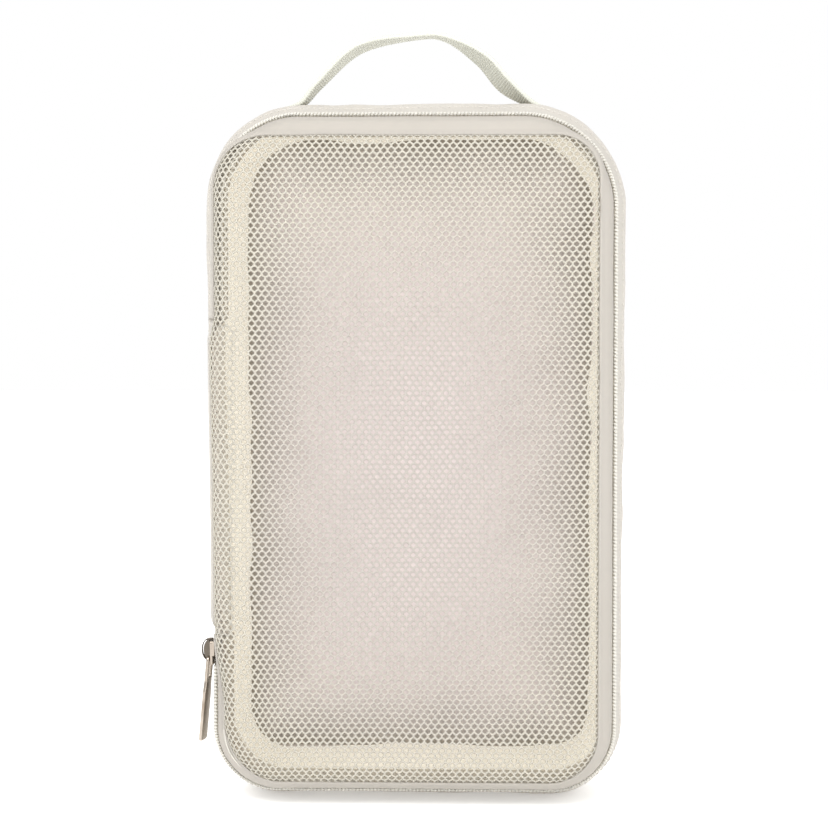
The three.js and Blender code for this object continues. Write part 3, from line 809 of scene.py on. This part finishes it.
def waved_strip(name, start, end, section, wave, seed):
    """A strip round the rim whose free edge ripples."""
    stations = rim_stations(start, end, STRIP_STEP)
    grid = rim_grid(stations, curve_through(section, 9))
    share = np.linspace(0, 1, 9)[None, :] ** 1.5
    normal = RIM.at(stations)[1]
    ripple = wave * wobble(grid, 21, seed) * share
    grid[..., 1] += 0.5 * ripple
    grid[..., 0] += ripple * normal[:, None, 0]
    grid[..., 2] += ripple * normal[:, None, 1]
    return skin(name, leaned(grid, -20, -6), 0.7)


def back_binding():
    """The bound seam allowance that stands in from the rear edge and makes the line seen through the net."""
    section = [(-3.4, 29.5), (-5.2, 31.2), (-8.4, 31.8), (-11.4, 31.4), (-13.6, 30.4)]
    piece = waved_strip("back_seam_tape", 0, 8.999, section, 2.4, 31)
    place_piece(piece, RING_CLOTH, "shell", ["back_seam_binding"])


def gusset_binding():
    section = [(-8.6, -16.4), (-8.7, -14), (-8.9, -11.5), (-9.2, -9)]
    piece = waved_strip("gusset_seam_tape", *CHAIN_RUN, section, 0.7, 37)
    place_piece(piece, BINDING_CLOTH, "shell", ["gusset_seam_binding"])


# ---- Lid ----

BAND_COLUMNS = 22


def band_rows(stations):
    """Control points of the shoulder band from the fold beside the chain to the lap over the net."""
    point, normal = RIM.at(stations)
    on_field, outward, facing = seam(stations)

    def rim(offset, y):
        return beside(point, normal, offset, y)

    first, last = rim(-7.2, -28.3), on_field + outward * 1.8 + facing * 0.8
    middle = (first + last) / 2
    out = np.stack([normal[:, 0], -np.ones(len(point)), normal[:, 1]], axis=1) / math.sqrt(2)
    rise = np.clip(np.linalg.norm(last - first, axis=1) * 0.13, 0.3, 1.3)
    tuck = [rim(-9.1, -29.8), rim(-8.7, -27.9), rim(-7.8, -27.2)]
    lap = [on_field - outward * 0.1 + facing * FOLD_LIFT, on_field + outward * 2.0 + facing * 0.1]
    return np.stack(tuck + [first, middle + out * rise[:, None], last] + lap, axis=1)


def lid_band():
    stations = rim_stations(*CHAIN_RUN, GUSSET_STEP)
    grid = cloth_waves(curve_through(band_rows(stations), BAND_COLUMNS), 0.28, 41)
    piece = skin("shoulder_band", grid)
    place_piece(piece, BAND_CLOTH, "lid", ["lid_band"])
    topstitch("band_topstitch_outer", grid, 8, "lid")
    topstitch("band_topstitch_inner", grid, 14, "lid")


def seam_tapes():
    """The bound allowances under the shoulder band, seen when the lid is open."""
    stations = rim_stations(*CHAIN_RUN, STRIP_STEP)
    on_field, outward, facing = seam(stations)
    rows = np.stack([on_field + outward * a - facing * b for a, b in ((0.6, 1.0), (2.6, 1.3), (4.6, 2.0))], axis=1)
    piece = skin("net_seam_tape", curve_through(rows, 7), 0.8)
    place_piece(piece, BINDING_CLOTH, "lid", ["mesh_seam_binding"])
    section = [(-10.2, -28.6), (-10.8, -30), (-11.4, -31.4)]
    strip = waved_strip("lid_seam_tape", *LID_RUN, section, 0.3, 43)
    place_piece(strip, BINDING_CLOTH, "lid", ["lid_seam_binding"])


def net_cells():
    """Centres of the net's holes in its flat pattern, and the two six-cornered rings of one hole."""
    columns = np.arange(-34, 32)
    rows = np.arange(-2, 148)
    i, j = np.meshgrid(columns, rows, indexing="ij")
    centres = np.stack([(i + 0.5 * (j % 2)) * NET_PITCH, j * NET_ROW], axis=-1).reshape(-1, 2)
    tip = NET_ROW - NET_SIDE
    ring = np.array([(0, tip), (-NET_PITCH / 2, NET_SIDE), (-NET_PITCH / 2, -NET_SIDE), (0, -tip),
                     (NET_PITCH / 2, -NET_SIDE), (NET_PITCH / 2, NET_SIDE)])
    return centres, ring


def net_drift(flat):
    """Slow unevenness of the knitted net, so that its rows aren't ruled."""
    spots = np.concatenate([flat, np.zeros(flat.shape[:-1] + (1,))], axis=-1)
    return flat + 0.55 * np.stack([wobble(spots, 31, 51), wobble(spots, 27, 52)], axis=-1)


def net_piece(name, centres, ring):
    """The net round the given holes: each thread is ridged in front and behind, and closed at the outer edge."""
    count = len(centres)
    border = centres[:, None] + ring[None]
    keys, index = np.unique(np.round(border.reshape(-1, 2), 3), axis=0, return_inverse=True)
    index = index.reshape(count, 6)
    crest, crest_up, _ = net_place(net_drift(keys))
    hole = net_place(net_drift(centres[:, None] + ring[None] * NET_HOLE))[0]
    lift = NET_THREAD / 2
    n = len(keys)
    points = np.concatenate([crest + crest_up * lift, crest - crest_up * lift, hole.reshape(-1, 3)])
    hole_index = 2 * n + np.arange(count * 6).reshape(count, 6)
    after, hole_after = np.roll(index, -1, axis=1), np.roll(hole_index, -1, axis=1)
    front = np.stack([index, after, hole_after, hole_index], axis=-1).reshape(-1, 4)
    back = np.stack([hole_index, hole_after, after + n, index + n], axis=-1).reshape(-1, 4)
    edges = np.stack([index, after], axis=-1).reshape(-1, 2)
    sorted_edges = np.sort(edges, axis=1)
    _, first, times = np.unique(sorted_edges, axis=0, return_index=True, return_counts=True)
    rim = edges[first[times == 1]]
    side = np.stack([rim[:, 0], rim[:, 0] + n, rim[:, 1] + n, rim[:, 1]], axis=1)
    return new_piece(name, points, np.concatenate([front, back, side]))


def net():
    """The lid's net, and the strip of it that rolls back to the hinge, made as a separate piece."""
    centres, ring = net_cells()
    centres = centres[net_place(centres)[2] > 0.5]
    fold = (centres[:, 0] < FIELD_LEFT) & (centres[:, 1] > LOWER_END + 2) & (centres[:, 1] < UPPER_END - 2)
    main = net_piece("net", centres[~fold], ring)
    place_piece(main, NET_THREADS, "lid", ["mesh_panel"])
    strip = net_piece("net_hinge_fold", centres[fold], ring)
    place_piece(strip, NET_THREADS)
    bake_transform(strip)


# ---- Zipper ----


def coil(name, start, end, middle_y):
    """A flattened helix of nylon along the chain."""
    stations = rim_stations(start, end, 0.5)
    reach = np.arange(len(stations)) * 0.5
    turns = reach[-1] / COIL_PITCH
    along = np.linspace(0, reach[-1], int(turns * 12))
    station = np.interp(along, reach, stations)
    turn = 2 * np.pi * along / COIL_PITCH
    point, normal = RIM.at(station)
    centre = CHAIN_U - COIL_DEPTH
    path = beside(point, normal, centre + COIL_HALF_HEIGHT * np.sin(turn), middle_y + COIL_HALF_WIDTH * np.cos(turn))
    points, faces = tube(path, COIL_THREAD, 5)
    core_points, core_faces = tube(beside(point, normal, centre, middle_y)[::6], COIL_CORE, 10)
    return new_piece(name, np.concatenate([points, core_points]),
                     faces + [[v + len(points) for v in face] for face in core_faces])


def zipper():
    gap = COIL_HALF_WIDTH - 0.25
    rear = coil("shell_coil", *CHAIN_RUN, CHAIN_Y + gap)
    place_piece(rear, COIL_NYLON, "shell", ["rear_zipper_coil"])
    front = coil("lid_coil", *LID_RUN, CHAIN_Y - gap)
    place_piece(front, COIL_NYLON, "lid", ["front_zipper_coil"])
    rear_section = [(-7.2, CHAIN_Y + 0.1), (-7.4, CHAIN_Y + 4), (-7.9, CHAIN_Y + 9), (-8.0, CHAIN_Y + 14)]
    tape = skin("shell_tape", rim_grid(rim_stations(*CHAIN_RUN, STRIP_STEP), curve_through(rear_section, 10)), 0.5)
    place_piece(tape, TAPE_CLOTH, "shell", ["rear_zipper_tape"])
    front_section = [(-7.2, CHAIN_Y - 0.1), (-8.4, CHAIN_Y - 3.6), (-9.2, CHAIN_Y - 5.5), (-10, CHAIN_Y - 8)]
    tape = skin("lid_tape", rim_grid(rim_stations(*LID_RUN, STRIP_STEP), curve_through(front_section, 8)), 0.5)
    place_piece(tape, TAPE_CLOTH, "lid", ["front_zipper_tape"])


TAB_THICKNESS = 0.9


def tab(name, node, bar_name, bar_node, chain_end):
    """A folded cloth tab over a zipper end, lower at the chain, with a dense bar of thread across it."""
    low, high = node_box(node)
    span_z, span_y = high[2] - low[2], high[1] - low[1]
    away = np.linspace(0, 1, 14)[:, None]
    across = np.linspace(-1, 1, 18)[None, :]
    z = (low[2] if chain_end < 0 else high[2]) - chain_end * away * span_z
    y = (low[1] + high[1]) / 2 + across * span_y / 2
    offset = -4.8 + 1.8 * smooth(away * 0.85 + 0.1) - 0.7 * across**2
    grid = np.stack(np.broadcast_arrays(-HALF - offset + lean(-HALF, z), y, z), axis=-1)
    piece = skin(name, grid[:, ::chain_end] if chain_end > 0 else grid, TAB_THICKNESS)
    place_piece(piece, SHELL_CLOTH, "shell", [node])
    middles = grid[9][2 + np.arange(9) * 3 // 2] + np.array([-TAB_THICKNESS / 2 - 0.1, 0, 0])
    bartack(bar_name, middles, (0, 0, 1), (-1, 0, 0), bar_node)


# ---- Slider and pull ----

SLIDER_LOW, SLIDER_HIGH = node_box("slider_body")
PIVOT = np.array(next(joint["pos_m"] for joint in frame["joints"] if joint["name"] == "pull_swing")) / MM


def turned(points, x_from, y_from, z_from, origin):
    """Places a plate made in its own plane: each bag axis is given the plate axis that it takes."""
    axes = {"x": points[:, 0], "y": points[:, 1], "z": points[:, 2],
            "-x": -points[:, 0], "-y": -points[:, 1], "-z": -points[:, 2]}
    return np.stack([axes[x_from], axes[y_from], axes[z_from]], axis=1) + origin


CROWN_LENGTH = 10.8


def slider():
    """Two waisted wings with curled flanges, and a bridge over the outer wing that holds the pull."""
    half = (SLIDER_HIGH[1] - SLIDER_LOW[1]) / 2 - 0.5
    length = SLIDER_HIGH[2] - SLIDER_LOW[2]
    chain_x, base = -HALF - CHAIN_U, SLIDER_LOW[2]
    wing = rounded_shape([(-half * 0.7, 0), (half * 0.7, 0), (half, length * 0.45), (half, length), (0, length - 0.8),
                          (-half, length)], 1.6)
    parts = []
    for name, thickness, bevel, away in (("outer_wing", 1.3, 0.42, -0.95), ("inner_wing", 1.0, 0.35, 3.8)):
        points, faces = plate(name, [wing], thickness, bevel)
        parts.append((turned(points, "z", "x", "y", np.array([chain_x + away, CHAIN_Y, base])), faces))
    flange = rounded_shape([(0, 0), (1.5, 0), (1.5, length * 0.56), (0, length * 0.56)], 0.5)
    for side in (-1, 1):
        rail, rail_faces = plate("flange", [flange], 0.8, 0.3)
        place = np.array([chain_x - 0.9, CHAIN_Y + side * (half - 0.4), base + length * 0.4])
        parts.append((turned(rail, "x", "z", "y", place), rail_faces))
    reach = -SLIDER_LOW[0] - HALF - CHAIN_U
    rise = CROWN_LENGTH / 2
    bow = np.linspace(0, np.pi, 30)
    outside = [((reach - 0.3) * math.sin(t) ** 0.7, rise - 5.1 * math.cos(t)) for t in bow]
    opening = [(0.9 + (reach - 2.6) * math.sin(t) ** 0.7, rise - 3.75 * math.cos(t)) for t in bow]
    bridge, bridge_faces = plate("crown", [outside, opening], 2.4, 0.45)
    place = np.array([chain_x - 0.6, CHAIN_Y, base + 1.3])
    piece = welded("zipper_slider", parts)
    place_piece(piece, NICKEL, "slider", ["slider_body"])
    # The crown takes the darker copy of the nickel: painted shade.
    crown = welded("slider_crown", [(turned(bridge, "-x", "z", "y", place), bridge_faces)])
    place_piece(crown, PAINTED_SHADE_NICKEL, "slider")


# How the pull hangs: tilt away from the bag and twist in degrees, and how far in from its pivot it is moved.
PULL_TILT, PULL_TWIST, PULL_IN = 5.2, 9, 0.7


def pull():
    """A long flat pull with an eye at the top, hanging a little away from the bag."""
    length, half, neck = 36, 4.5, 3.7
    top = 0.7
    shape = rounded_shape([(-half, top - length), (half, top - length), (half, -13.5), (neck, -10.5), (neck, top),
                           (-neck, top), (-neck, -10.5), (-half, -13.5)], 1.7)
    eye = rounded_shape([(-2.2, -8.3), (2.2, -8.3), (2.2, -0.7), (-2.2, -0.7)], 1.2)
    points, faces = plate("pull_plate", [shape, eye], 1.4, 0.45)
    tilt, twist = math.radians(PULL_TILT), math.radians(PULL_TWIST)
    flat = turned(points, "z", "x", "y", np.zeros(3))
    x = flat[:, 0] * math.cos(twist) + flat[:, 1] * math.sin(twist)
    y = flat[:, 1] * math.cos(twist) - flat[:, 0] * math.sin(twist)
    placed = np.stack([x * math.cos(tilt) + flat[:, 2] * math.sin(tilt), y,
                       -x * math.sin(tilt) + flat[:, 2] * math.cos(tilt)], axis=1) + PIVOT + [PULL_IN, 0, 0]
    piece = welded("zipper_pull", [(placed, faces)])
    place_piece(piece, NICKEL, "pull", ["pull_tab"])


# ---- Handle ----

# The strap leaves the bag at its sewn feet, climbs to a flat crown and falls more steeply on the far side, where it
# shows more of its underside. Each point is its centre line in x and height above the bag, and its turn in degrees.
STRAP_FOOT, STRAP_LIFT_OFF = 60, 50
STRAP_CROWN = 30
STRAP_LINE = [
    (-STRAP_FOOT, -2.5, 0), (-STRAP_LIFT_OFF, 1.2, -1), (-42, 10, -5), (-25, 25, -8), (0, STRAP_CROWN, 0),
    (13, 29, -3), (28, 20, -19), (38, 9, -22), (STRAP_LIFT_OFF, 0.6, -3), (STRAP_FOOT, -2.8, 0),
]
STRAP_THICKNESS = 1.5
RIB_PITCH, RIB_DEPTH = 1.15, 0.28
STRAP_EDGE = 0.7


def strap():
    line = curve_through(STRAP_LINE, 700)
    reach = distances(line[:, :2])
    tangent = unit(np.gradient(line[:, :2], axis=0))
    twist = np.radians(line[:, 2])
    up = np.stack([-tangent[:, 1], np.zeros(len(line)), tangent[:, 0]], axis=1)
    side = np.tile([0, 1.0, 0], (len(line), 1))
    across = side * np.cos(twist)[:, None] + up * np.sin(twist)[:, None]
    over = up * np.cos(twist)[:, None] - side * np.sin(twist)[:, None]
    half, thick = STRAP_WIDTH / 2, STRAP_THICKNESS / 2
    flat = np.linspace(-half + STRAP_EDGE, half - STRAP_EDGE, 14)
    end = np.radians(np.linspace(90, -90, 7))[1:-1]
    bulge = STRAP_EDGE * np.cos(end)
    places = np.concatenate([flat, half - STRAP_EDGE + bulge, flat[::-1], -half + STRAP_EDGE - bulge])
    heights = np.concatenate([np.ones(14), np.sin(end), -np.ones(14), -np.sin(end)]) * thick
    rib = 1 + RIB_DEPTH / thick * np.abs(np.sin(np.pi * reach / RIB_PITCH))
    middle = np.stack([line[:, 0], np.full(len(line), STRAP_Y), TOP + line[:, 1]], axis=1)
    grid = (middle[:, None] + across[:, None] * places[None, :, None]
            + over[:, None] * (heights[None, :] * rib[:, None])[..., None])
    rows, columns = grid.shape[:2]
    cloth = np.stack(np.broadcast_arrays(reach[:, None], places[None, :], np.zeros((1, 1))), axis=-1)
    piece = new_piece("grab_strap", grid.reshape(-1, 3), [f[::-1] for f in tube_faces(rows, columns)],
                      cloth.reshape(-1, 3))
    place_piece(piece, WEBBING_CLOTH)
    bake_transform(piece)
    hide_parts("handle_webbing", "handle_end_left", "handle_end_right")
    for label, centre_x, node in (("left", -56.5, "handle_bartack_left"), ("right", 56.5, "handle_bartack_right")):
        strap_stitches(label, centre_x, node)


def strap_stitches(label, centre_x, node):
    """Two dense thread bars that hold a sewn strap end."""
    half = STRAP_WIDTH / 2 - 1.6
    y = STRAP_Y + np.linspace(-half, half, 15)
    middles = np.array([(x, v, TOP - 0.6 - 0.28 * (abs(x) - 54)) for x in (centre_x - 2.2, centre_x + 2.2) for v in y])
    bartack("strap_bartack_" + label, middles, (1, 0, 0), (0, 0, 1), node)


# ---- Stage ----

CAMERA_DISTANCE = 1.05
CAMERA_AZIMUTH, CAMERA_ELEVATION = 2.0, 3.0
CAMERA_LENS = 106.0
AIM = (-1.1, 0, 163.5)


def stage():
    size = 4.0
    mesh = bpy.data.meshes.new("floor")
    corners = [(-size, -size, 0), (size, -size, 0), (size, size, 0), (-size, size, 0)]
    mesh.from_pydata(corners, [], [(0, 1, 2, 3)])
    floor = in_scene("floor", mesh)
    shader = Shader("pale_floor")
    main = shader.node("ShaderNodeBsdfPrincipled", Roughness=0.9, Emission_Strength=0.25)
    main.inputs["Base Color"].default_value = (0.97, 0.97, 0.97, 1)
    mesh.materials.append(shader.finish(main.outputs[0]))
    world = bpy.data.worlds.new("studio")
    bpy.context.scene.world = world
    world.use_nodes = True
    sky = world.node_tree.nodes["Background"].inputs
    sky["Color"].default_value = (1, 1, 1, 1)
    sky["Strength"].default_value = 1.0


def soft_light(name, place, size, power):
    """A square area light aimed at the bag's middle."""
    data = bpy.data.lights.new(name, "AREA")
    data.shape = "SQUARE"
    data.size = size
    data.energy = power
    lamp = in_scene(name, data)
    lamp.location = place
    lamp.rotation_euler = (Vector((0, 0, 0.15)) - Vector(place)).to_track_quat("-Z", "Y").to_euler()


def camera():
    data = bpy.data.cameras.new("view")
    data.lens = CAMERA_LENS
    data.sensor_width = 36
    data.clip_start, data.clip_end = 0.05, 20
    view = in_scene("view", data)
    azimuth, elevation = math.radians(CAMERA_AZIMUTH), math.radians(CAMERA_ELEVATION)
    back = Vector((math.sin(azimuth) * math.cos(elevation), -math.cos(azimuth) * math.cos(elevation),
                   math.sin(elevation)))
    view.location = Vector(AIM) * MM + back * CAMERA_DISTANCE
    view.rotation_euler = (-back).to_track_quat("-Z", "Y").to_euler()
    bpy.context.scene.camera = view


gusset()
hinge_side()
back_panel()
back_binding()
gusset_binding()
lid_band()
seam_tapes()
net()
zipper()
tab("tab_lower", "zipper_tab_lower", "tab_bar_lower", "tab_bartack_lower", -1)
tab("tab_upper", "zipper_tab_upper", "tab_bar_upper", "tab_bartack_upper", 1)
slider()
pull()
strap()
stage()
soft_light("key", (-0.6, -1.3, 1.7), 1.2, 24)
soft_light("fill", (0.9, -1.6, 0.5), 1.2, 10)
soft_light("behind", (0, 1.7, 0.9), 1.6, 14)
camera()
bpy.context.scene.view_settings.view_transform = "Standard"
